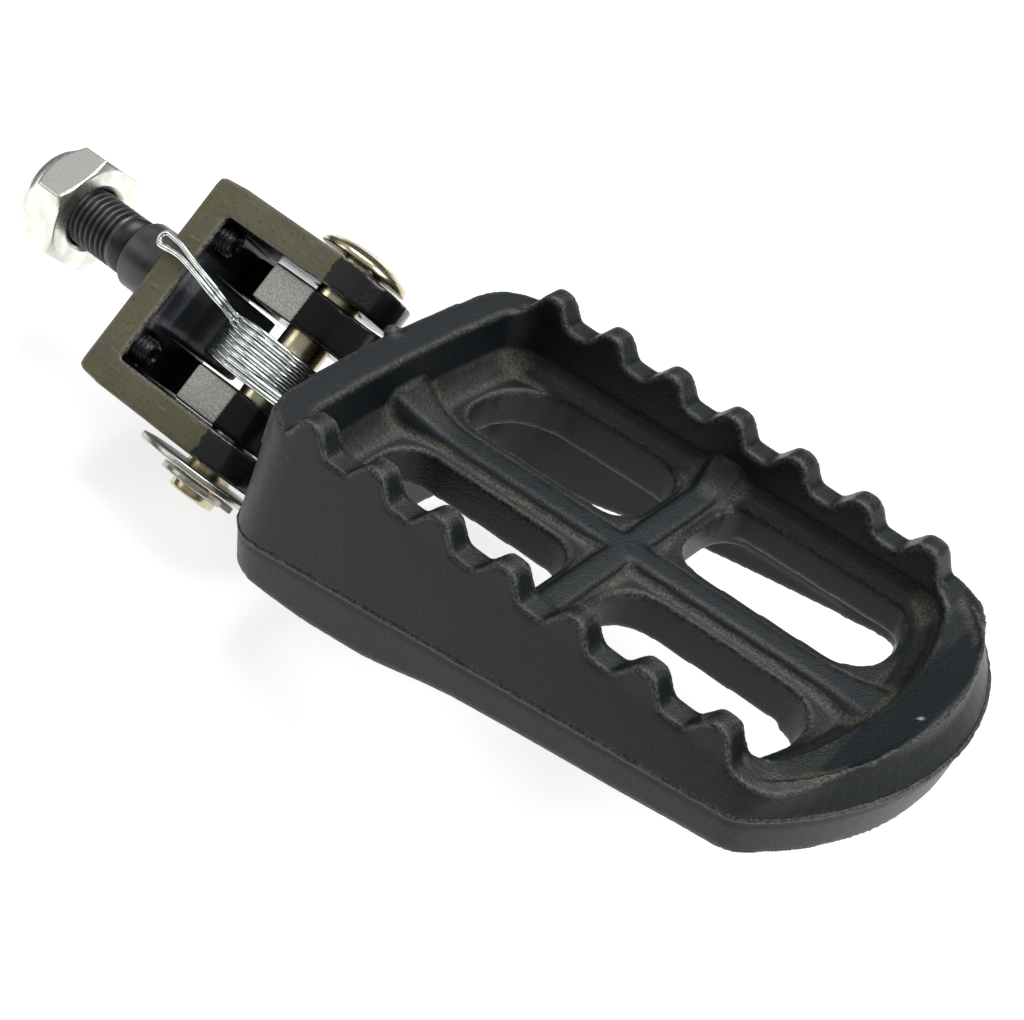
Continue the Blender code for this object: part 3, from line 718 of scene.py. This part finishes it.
def outer_skin():
    """The tray's outer wall with its curves drawn finely, from its bottom edge to under its teeth and lip."""
    bottom, parting_ring, rim, crest = (whole_outline(sizes) for sizes in (
        BOTTOM_OUTLINE, PARTING_OUTLINE, RIM_OUTLINE, CREST_OUTLINE))
    rings = []
    for b, p, r, c in zip(bottom, parting_ring, rim, crest):
        top = np.interp(p[0], *zip(*TOP_LINE))
        if top < RIM_RING_LEVEL:
            share = (top - parting(p[0])) / (RIM_RING_LEVEL - parting(p[0]))
            t = p + (r - p) * share
        else:
            t = r + (c - r) * (top - RIM_RING_LEVEL) / (CREST_LEVEL - RIM_RING_LEVEL)
        inner = SKIN_CENTRE + (p - SKIN_CENTRE) * (1 - SKIN_THICKNESS / np.linalg.norm(p - SKIN_CENTRE))
        low = np.interp(b[0], *zip(*BOTTOM_LINE)) + SKIN_LIFT
        section = [(t, top), (p, parting(p[0])), (b, low), (inner, low), (inner, top)]
        rings.append([tray_point(q[0], q[1], z) for q, z in section])
    return closed_tube(rings)


def wall_fillet():
    """The cast fillet that runs round the tray where its deck meets its walls."""
    flat = whole_outline(TRAY_FLOOR)
    rings = []
    for (x, y), (nx, ny) in zip(flat, -across_outline(flat)):
        share = min(1.0, abs(nx) * 1.2)
        ring = []
        for (side_reach, side_z), (end_reach, end_z) in zip(FILLET_SIDE, FILLET_END):
            reach = side_reach + (end_reach - side_reach) * share
            z = side_z + (end_z - side_z) * share
            ring_x = x + nx * reach
            ring.append(tray_point(ring_x, y + ny * reach, deck(ring_x) + z))
        rings.append(ring)
    return closed_tube(rings)


def ridge(ends, half_base, half_top, height, across, ramp_length, ramp_flare, climbs):
    """A flat-topped ridge on the deck that spreads and climbs into the walls at its ends.

    It runs along X, or along Y where across is its X. climbs is how far it rises at its first and last end.
    """
    rings = []
    steps = 48
    middle = (ends[0] + ends[1]) / 2
    for k in range(steps + 1):
        run = ends[0] + (ends[1] - ends[0]) * k / steps
        share = max(0.0, 1 - min(run - ends[0], ends[1] - run) / ramp_length) ** 2
        flare = 1.0 + ramp_flare * share
        top = height + climbs[run >= middle] * share
        half = [(half_base, RIDGE_ROOT), (half_base, RIDGE_FOOT),
                (half_top + 0.3, top * 0.55), (half_top - 0.5, top)]
        ring = []
        for side, z in [(-reach, level) for reach, level in half] + half[::-1]:
            offset = side * flare
            if across is None:
                ring.append(tray_point(run, offset, deck(run) + z))
            else:
                ring.append(tray_point(across + offset, run, deck(across) + z))
        rings.append(ring)
    return mesh_of(grid_solid("ridge", rings, Matrix.Identity(4)))


def rim_bump():
    """The small cast bump behind the mount end's rim."""
    work = bmesh.new()
    at = Matrix.Translation(Vector(tray_point(*BUMP)))
    bmesh.ops.create_icosphere(work, subdivisions=3, radius=BUMP_RADIUS * MM, matrix=at)
    mesh = bpy.data.meshes.new("bump")
    work.to_mesh(mesh)
    work.free()
    return mesh


def flash_line():
    """The thin rough bead that the casting's two mould halves left round the outside."""
    outline = whole_outline(PARTING_OUTLINE)
    loop = np.vstack([outline, outline[:1]])
    lengths = np.concatenate([[0], np.cumsum(np.linalg.norm(np.diff(loop, axis=0), axis=1))])
    along = np.linspace(0, lengths[-1], BEAD_POINTS, endpoint=False)
    flat = np.stack([np.interp(along, lengths, loop[:, k]) for k in (0, 1)], 1)
    wobble = rng.normal(0, 1, (3, BEAD_POINTS))
    for _ in range(2):
        wobble = (np.roll(wobble, 1, 1) + wobble + np.roll(wobble, -1, 1)) / 3
    rings = []
    for (x, y), (nx, ny), (swell, sway, rise) in zip(flat, across_outline(flat), wobble.T):
        thick = BEAD_RADIUS + BEAD_WOBBLE["thick"] * swell
        out = BEAD_WOBBLE["out"] * sway - BEAD_INSET
        z = parting(x) + BEAD_WOBBLE["up"] * rise
        ring = []
        for angle in np.linspace(0, math.tau, 8, endpoint=False):
            reach = out + thick * math.cos(angle)
            ring.append(tray_point(x + nx * reach, y + ny * reach, z + thick * math.sin(angle)))
        rings.append(ring)
    return closed_tube(rings)


def build_peg():
    """The casting: the CAD one with its curves drawn finely, its fillets, ridges, bump and mould bead."""
    long_ridge = ridge(ends=(-5.0, 84.0), half_base=3.2, half_top=2.2, height=1.35, across=None,
                       ramp_length=13.0, ramp_flare=1.3, climbs=(4.2, 0.8))
    cross_ridge = ridge(ends=(-25.5, 25.5), half_base=3.0, half_top=2.0, height=1.30, across=CROSS_RIDGE_X,
                        ramp_length=7.0, ramp_flare=0.9, climbs=(4.0, 4.0))
    cad = frame["nodes"]["peg_body"].data
    sources = [cad, outer_skin(), wall_fillet(), long_ridge, cross_ridge, rim_bump()]
    obj = cast("peg_casting", sources, *PEG_CAST)
    skin_count = len(obj.data.vertices)
    obj.data = mesh = joined([obj.data, flash_line()], "peg_casting")
    mesh.polygons.foreach_set("use_smooth", [True] * len(mesh.polygons))
    where, facing = coordinates(mesh), normals(mesh)
    x = where[:, 0] / MM - TRAY_X
    y = where[:, 1] / MM
    z = where[:, 2] / MM - TRAY_Z
    cx, cy, cz, facing_clevis = in_clevis(where, facing)

    # the outside is drawn in a little, to leave room for the bead within the CAD's size
    sides = np.abs(facing[:, 1]) * (np.abs(y) > OUTSIDE_Y)
    tip = facing[:, 0] * (x > OUTSIDE_TIP_X)
    off_lugs = (cx > CLEAR_OF_LUGS[0]) * (np.abs(y) > CLEAR_OF_LUGS[1])
    mount = -facing[:, 0] * (x < OUTSIDE_MOUNT_X) * off_lugs
    outward = ramped(np.maximum(np.maximum(sides, tip), mount), 0.35, 0.7)
    above_parting = z - parting(x)
    groove = np.exp(-((above_parting + GROOVE_BELOW_PARTING) / BAND_HALF_WIDTH) ** 2)
    inset = WALL_INSET + GROOVE_DEPTH * groove
    on_skin = np.arange(len(x)) < skin_count
    where -= facing * (MM * inset * outward * on_skin)[:, None]
    mesh.vertices.foreach_set("co", where.ravel())
    mesh.update()

    bend = curvature(mesh, 6)
    beside_pin = np.abs(cy) < LUG_HALF_WIDTH
    on_pad = beside_pin & (cx > PAD_SPAN[0]) & (cx < PAD_SPAN[1]) & (facing_clevis[:, 2] > 0.93)
    pad = on_pad * ramped(cz, *PAD_LEVELS)
    lug = beside_pin * ramped(LUG_END_X - cx, 0.0, LUG_FADE)
    bead_light = outward * np.exp(-((above_parting - 0.1) / BAND_HALF_WIDTH) ** 2)
    store(mesh, "worn", np.maximum(ramped(bend, 0.25, 0.9), 0.8 * bead_light) * (1 - lug))
    from_nick = np.linalg.norm([x - NICK[0], y - NICK[1], z - NICK[2]], axis=0)
    store(mesh, "nick", ramped(NICK_RADIUS - from_nick, 0.0, 0.35))
    inside = (np.abs(y) < OUTSIDE_Y) & (x > DECK_SPAN[0]) & (x < DECK_SPAN[1]) & (z > deck(x) - 1.5)
    # painted light: only hollows that face up are marked, so the pale fillet tone falls where light from
    # above would lift it
    up = ramped(facing[:, 2], 0.25, 0.7)
    store(mesh, "hollow", ramped(-bend, 0.07, 0.30) * inside * up * (1 - lug))
    store(mesh, "pad", pad)
    store(mesh, "lug", lug * (1 - pad))
    finish_piece(obj, peg_coat(), PEG, "peg_body")


# ---------------------------------------------------------------- clevis
def build_clevis():
    """The forging with eased edges, and its ground and worn areas and its saddle, which takes painted light,
    marked.
    """
    obj = cast("clevis_forging", [frame["nodes"]["clevis"].data], *CLEVIS_CAST)
    mesh = obj.data
    where, facing = coordinates(mesh), normals(mesh)
    cx, cy, cz, facing_clevis = in_clevis(where, facing)
    bend = curvature(mesh, 2)
    top = ramped(cz, *GROUND_LEVELS) * ramped(facing_clevis[:, 2], 0.75, 0.95)
    store(mesh, "ground", top * ramped(GROUND_END_X - cx, 0.0, 1.2))
    store(mesh, "edge", ramped(bend, 0.5, 1.4) * ramped(cz, 8.8, 9.8) * ramped(3.0 - cx, 0.0, 2.0))
    # the saddle between the lugs, where painted light lifts the black paint
    in_saddle = (np.abs(cy) < SADDLE_HALF_WIDTH) & (cx > SADDLE_SPAN[0]) & (cx < SADDLE_SPAN[1])
    store(mesh, "saddle", in_saddle & (cz < SADDLE_TOP))
    finish_piece(obj, clevis_finish(), MOUNT, "clevis")


# ---------------------------------------------------------------- stud, nut, insert
def thread_depth(height, angle, pitch):
    """Share of the thread's depth cut away at this height and angle."""
    phase = (height / pitch - angle / math.tau) % 1.0
    return ramped(abs(phase - 0.5) * 2, 0.12, 0.88)


def build_stud():
    """The stud: thread, plain shank, collar, and the spigot that sits in the clevis."""
    low, high = STUD_BOX[0][0] / MM, STUD_BOX[1][0] / MM
    heights = list(np.arange(low, THREAD_END, STUD_PITCH / 10)) + [THREAD_END, 20.0, SHANK_START]
    profile = [(3.9, low), (4.2, low)] + [(STUD_RADIUS, h) for h in heights]
    profile += fillet_profile([
        (SHANK_RADIUS, SHANK_START), (SHANK_RADIUS, SHANK_END, 0.25), (COLLAR_RADIUS, SHANK_END, 0.45),
        (COLLAR_RADIUS, COLLAR_END, 0.1), (SPIGOT_RADIUS, COLLAR_END, 0.1),
        (SPIGOT_RADIUS, high, 0.4), (2.0, high),
    ], 4)

    def threaded(angle, r, h):
        if h > THREAD_END or r < 4.25:
            return r
        ease = ramped(h, low + 0.1, low + 1.6) * ramped(THREAD_END - h, 0.0, 1.4)
        chamfer = 0.75 * (1 - ramped(h, low, low + 1.0))
        return r - STUD_THREAD_DEPTH * thread_depth(h, angle, STUD_PITCH) * ease - chamfer

    obj = lathe("stud", profile, 72, ALONG_STUD, threaded)
    x, y, z = coordinates(obj.data).T / MM
    reach = np.hypot(y, z)
    crest = ramped(reach, STUD_RADIUS - 0.22, STUD_RADIUS - 0.02) * (x < THREAD_END)
    rim = np.exp(-((x - SHANK_END - 0.2) / 0.35) ** 2) * (reach > 5.6)
    store(obj.data, "worn", np.maximum(0.5 * crest, 0.6 * rim))
    finish = black_oxide("stud_oxide", (0.050, 0.052, 0.056), (0.022, 0.022, 0.024), 0.36)
    finish_piece(obj, finish, MOUNT, "mounting_stud")


def build_nut():
    """The lock nut: a chamfered hexagon with a domed collar that holds the nylon insert."""
    face, back = NUT_BOX[1][0] / MM, NUT_BOX[0][0] / MM
    length = face - back
    corner = NUT_CORNER + 0.35
    corners = [
        (NUT_BORE, -5.0), (NUT_BORE, -0.6, 0.2), (6.3, 0.0, 0.2), (8.9, 0.0, 0.3), (corner, -0.95, 0.3),
        (corner, 2.0 - HEX_LENGTH, 0.3), (9.0, -HEX_LENGTH - 0.1, 0.3), (8.7, -HEX_LENGTH - 0.4, 0.2),
        (8.6, -length + 1.5, 0.9), (7.3, -length, 0.7), (INSERT_SEAT, -length, 0.3),
        (INSERT_SEAT, -length + 0.5, 0.1), (INSERT_SEAT, -5.0),
    ]
    outline = fillet_profile(corners, 8)
    profile = []
    for (r0, h0), (r1, h1) in zip(outline, outline[1:]):
        parts = max(1, int(math.hypot(r1 - r0, h1 - h0) / 0.35))
        profile += [(r0 + (r1 - r0) * k / parts, h0 + (h1 - h0) * k / parts) for k in range(parts)]
    profile.append(outline[-1])

    def hexagonal(angle, r, h):
        from_corner = (angle - NUT_TURN + math.pi / 6) % (math.pi / 3) - math.pi / 6
        return min(r, NUT_FLATS / 2 / math.cos(math.pi / 6 - abs(from_corner)))

    at = Matrix.Translation((face * MM, 0, 0)) @ ALONG_STUD
    obj = lathe("nut", profile, 264, at, hexagonal, ring=True)
    finish = plated("nut_plating", (0.95, 0.96, 0.90), (0.70, 0.72, 0.62), 0.27, 3.0)
    finish_piece(obj, finish, MOUNT, "lock_nut")


def build_insert():
    """The nylon ring in the nut's far end."""
    low, high = INSERT_BOX[0][0] / MM, INSERT_BOX[1][0] / MM
    outer = (INSERT_BOX[1][1] - INSERT_BOX[0][1]) / 2 / MM - INSERT_GAP
    middle = (low + high) / 2
    corners = [(INSERT_BORE, middle), (INSERT_BORE, high, 0.2), (outer, high, 0.3), (outer, low, 0.3),
               (INSERT_BORE, low, 0.2), (INSERT_BORE, middle)]
    obj = lathe("insert", fillet_profile(corners, 4)[:-1], 96, ALONG_STUD, ring=True)
    finish_piece(obj, nylon(), MOUNT, "nut_insert")


# ---------------------------------------------------------------- pin, washer, clip
def build_pin():
    """The hinge pin: domed head, clip groove and a dimpled end."""
    groove_start, groove_end = CLIP_GROOVE
    corners = [
        (0.4, PIN_TOP), (3.0, PIN_TOP - 0.08, 0.6), (6.2, PIN_TOP - 0.8, 1.0), (8.05, PIN_HEAD + 1.0, 0.5),
        (8.1, PIN_HEAD + 0.05, 0.3), (PIN_RADIUS, PIN_HEAD, 0.1),
        (PIN_RADIUS, groove_start + 0.05, 0.05), (CLIP_GROOVE_RADIUS, groove_start, 0.05),
        (CLIP_GROOVE_RADIUS, groove_end, 0.05), (PIN_RADIUS, groove_end - 0.05, 0.1),
        (PIN_RADIUS, PIN_END, 0.5), (1.8, PIN_END, 0.4), (1.2, -24.7, 0.3), (0.4, -24.6),
    ]
    obj = lathe("pin", fillet_profile(corners, 6), 96, ALONG_PIN)
    finish = plated("pin_plating", (0.78, 0.72, 0.54), (0.48, 0.38, 0.19), 0.22, 4.0)
    finish_piece(obj, finish, MOUNT, "pivot_pin")


def build_washer():
    """The large washer, its rim slightly dished."""
    corners = [(8.0, -20.65), (WASHER_BORE, -20.6, 0.15), (WASHER_BORE, -21.55, 0.15), (10.4, -21.6, 0.5),
               (WASHER_RADIUS, -21.9, 0.25), (WASHER_RADIUS, -20.85, 0.3), (10.3, -20.6, 0.5), (8.0, -20.66)]
    obj = lathe("thrust_washer", fillet_profile(corners)[:-1], 128, ALONG_PIN, ring=True)
    finish = plated("washer_plating", (0.74, 0.74, 0.68), (0.46, 0.45, 0.38), 0.28, 5.0)
    finish_piece(obj, finish, MOUNT, "washer")


def build_clip():
    """The retaining clip with eased edges."""
    obj = cast("retaining_clip", [frame["nodes"]["e_clip"].data], *CLIP_CAST)
    finish = plated("clip_plating", (0.62, 0.62, 0.56), (0.40, 0.39, 0.33), 0.32, 3.0)
    finish_piece(obj, finish, MOUNT, "e_clip")


# ---------------------------------------------------------------- stop screws
def build_screws():
    """The two stop screws, threaded, with a hex socket's round mouth at their far ends."""
    low, high = SCREW_ENDS
    profile = [(SOCKET_RADIUS, low + 1.6), (SOCKET_RADIUS, low + 0.3), (1.55, low)]
    profile += [(SCREW_RADIUS, h) for h in np.arange(low, high, SCREW_PITCH / 8)]
    profile += [(1.45, high), (1.25, high - 0.05), (1.1, high - 0.5), (0.3, high - 0.75)]

    def threaded(angle, r, h):
        if r < 2.3:
            return r
        ease = ramped(h, low, low + 0.8) * ramped(high - h, 0.0, 0.8)
        chamfer = 0.5 * (1 - ramped(h, low, low + 0.5)) + 0.7 * (1 - ramped(high - h, 0.0, 0.7))
        return r - SCREW_THREAD_DEPTH * thread_depth(h, angle, SCREW_PITCH) * ease - chamfer

    finish = black_oxide("screw_oxide", (0.030, 0.030, 0.034), (0.012, 0.012, 0.013), 0.24)
    for node, y in SCREW_SIDES.items():
        at = CLEVIS @ Matrix.Translation((0, MM * y, MM * SCREW_Z)) @ ALONG_STUD
        obj = lathe(node + "_threaded", profile, 48, at, threaded)
        store(obj.data, "worn", np.zeros(len(obj.data.vertices)))
        finish_piece(obj, finish, MOUNT, node)


# ---------------------------------------------------------------- return spring
def spring_route():
    """The wire's centre line in clevis axes: foot, coil, over the clevis, round the bight, and back again."""
    over = CLEVIS_TOP + WIRE_GAP + WIRE_RADIUS
    steps = 32
    strands = []
    for lane in (0, 1):
        far_y = COIL_FAR_Y - lane * STRAND_STEP
        bight_y = BIGHT_Y + (1 - 2 * lane) * BIGHT_RADIUS
        pair_y = BIGHT_Y + (0.5 - lane) * PAIR_GAP
        points = [
            (BIGHT_X, bight_y, over), (-22.4, (bight_y + pair_y) / 2, over),
            (-19.5, pair_y - 0.5, over), (-12.5, (far_y * 1.3 + pair_y * 0.7) / 2, over - 0.1),
        ]
        for k in range(-4, COIL_TURNS * steps + 1):
            angle = math.pi / 2 - math.tau * k / steps
            x, z = COIL_X + COIL_RADIUS * math.cos(angle), COIL_RADIUS * math.sin(angle)
            points.append((x, far_y - 2 * STRAND_STEP * max(k, 0) / steps, z))
        foot_y = points[-1][1] - 0.1
        points += [(3.0, foot_y, 9.65), (9.0, foot_y, 7.9), (12.8, foot_y, 6.6)]
        strands.append(points)
    bend = [(BIGHT_X - BIGHT_RADIUS * math.sin(angle), BIGHT_Y + BIGHT_RADIUS * math.cos(angle), over)
            for angle in map(math.radians, (30, 60, 90, 120, 150))]
    return list(reversed(strands[0])) + bend + strands[1]


def smooth_route(points, step):
    """Evenly spaced points on a smooth curve through the given ones."""
    p = np.array(points, float)
    padded = np.vstack([2 * p[0] - p[1], p, 2 * p[-1] - p[-2]])
    out = []
    for i in range(1, len(padded) - 2):
        a, b, c, d = padded[i - 1:i + 3]
        parts = max(2, int(np.linalg.norm(c - b) / step))
        for k in range(parts):
            t = k / parts
            out.append(0.5 * (2 * b + (c - a) * t + (2 * a - 5 * b + 4 * c - d) * t ** 2
                              + (3 * b - a - 3 * c + d) * t ** 3))
    out.append(p[-1])
    return np.array(out)


def build_spring():
    """The wire, laid over the clevis up to its coil and down to the casting at its two feet; it is attached
    to neither body.
    """
    route = smooth_route(spring_route(), 0.6)
    ahead = np.gradient(route, axis=0)
    ahead /= np.linalg.norm(ahead, axis=1)[:, None]
    side = np.cross(ahead[0], (0, 1, 0))
    rings = []
    for here, forward in zip(route, ahead):
        side = side - forward * np.dot(side, forward)
        side /= np.linalg.norm(side)
        up = np.cross(forward, side)
        ring = []
        for angle in (math.tau * k / WIRE_SIDES for k in range(WIRE_SIDES)):
            out = math.cos(angle) * side + math.sin(angle) * up
            ring.append(tuple(MM * (here + WIRE_RADIUS * out)))
        rings.append(ring)
    obj = grid_solid("return_spring", rings, CLEVIS)
    finish = plated("spring_plating", (0.90, 0.94, 0.90), (0.48, 0.53, 0.50), 0.17, 1.5)
    finish_piece(obj, finish, None, "torsion_spring")
    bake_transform(obj)


# ---------------------------------------------------------------- floor, lights, camera
def build_floor():
    """Plain pale paper just under the part, faintly lit of itself so that shadows stay light."""
    level = cad_bounds[0][2] - FLOOR_GAP
    corners = [(x * FLOOR_HALF, y * FLOOR_HALF, level) for x, y in ((-1, -1), (1, -1), (1, 1), (-1, 1))]
    floor = mesh_object("floor", corners, [(0, 1, 2, 3)])
    s = Surface("floor_paper", roughness=0.9)
    s.set("Base Color", (FLOOR_GREY, FLOOR_GREY, FLOOR_GREY))
    s.set("Emission Color", (1.0, 1.0, 1.0))
    s.set("Emission Strength", FLOOR_GLOW)
    floor.data.materials.append(s.material)


def build_world():
    """A room that is bright overhead and dim towards the horizon."""
    world = bpy.data.worlds.new("studio")
    bpy.context.scene.world = world
    world.use_nodes = True
    tree = world.node_tree
    coords = tree.nodes.new("ShaderNodeTexCoord")
    split = tree.nodes.new("ShaderNodeSeparateXYZ")
    ramp = tree.nodes.new("ShaderNodeValToRGB")
    ramp.color_ramp.interpolation = "EASE"
    low, high = ramp.color_ramp.elements
    low.position, low.color = HORIZON
    high.position, high.color = OVERHEAD
    background = tree.nodes["Background"]
    background.inputs["Strength"].default_value = ROOM_LIGHT
    tree.links.new(coords.outputs["Generated"], split.inputs["Vector"])
    tree.links.new(split.outputs["Z"], ramp.inputs["Fac"])
    tree.links.new(ramp.outputs["Color"], background.inputs["Color"])


def build_lights():
    """Square softboxes, each turned to the part."""
    for name, place, size, power in SOFTBOXES:
        light = bpy.data.lights.new(name, "AREA")
        light.shape = "SQUARE"
        light.size = size
        light.energy = power
        lamp = bpy.data.objects.new(name, light)
        bpy.context.scene.collection.objects.link(lamp)
        lamp.location = place
        lamp.rotation_euler = (LIGHT_TARGET - Vector(place)).to_track_quat("-Z", "Y").to_euler()


def build_camera():
    """The camera, above and to the near side of the tray, rolled so that the part lies across the picture."""
    data = bpy.data.cameras.new("camera")
    data.sensor_fit = "HORIZONTAL"
    data.sensor_width = CAMERA_SENSOR
    data.lens = CAMERA_LENS
    data.clip_start = 0.01
    camera = bpy.data.objects.new("camera", data)
    bpy.context.scene.collection.objects.link(camera)
    right, back = CAMERA_RIGHT.normalized(), CAMERA_BACK.normalized()
    up = back.cross(right).normalized()
    matrix = Matrix((right, up, back)).transposed().to_4x4()
    matrix.translation = CAMERA_PLACE
    camera.matrix_world = matrix
    bpy.context.scene.camera = camera


build_camera()
build_floor()
build_world()
build_lights()
build_peg()
build_clevis()
build_stud()
build_nut()
build_insert()
build_pin()
build_washer()
build_clip()
build_screws()
build_spring()

bpy.context.scene.view_settings.view_transform = "Standard"
bpy.context.scene.view_settings.look = "None"
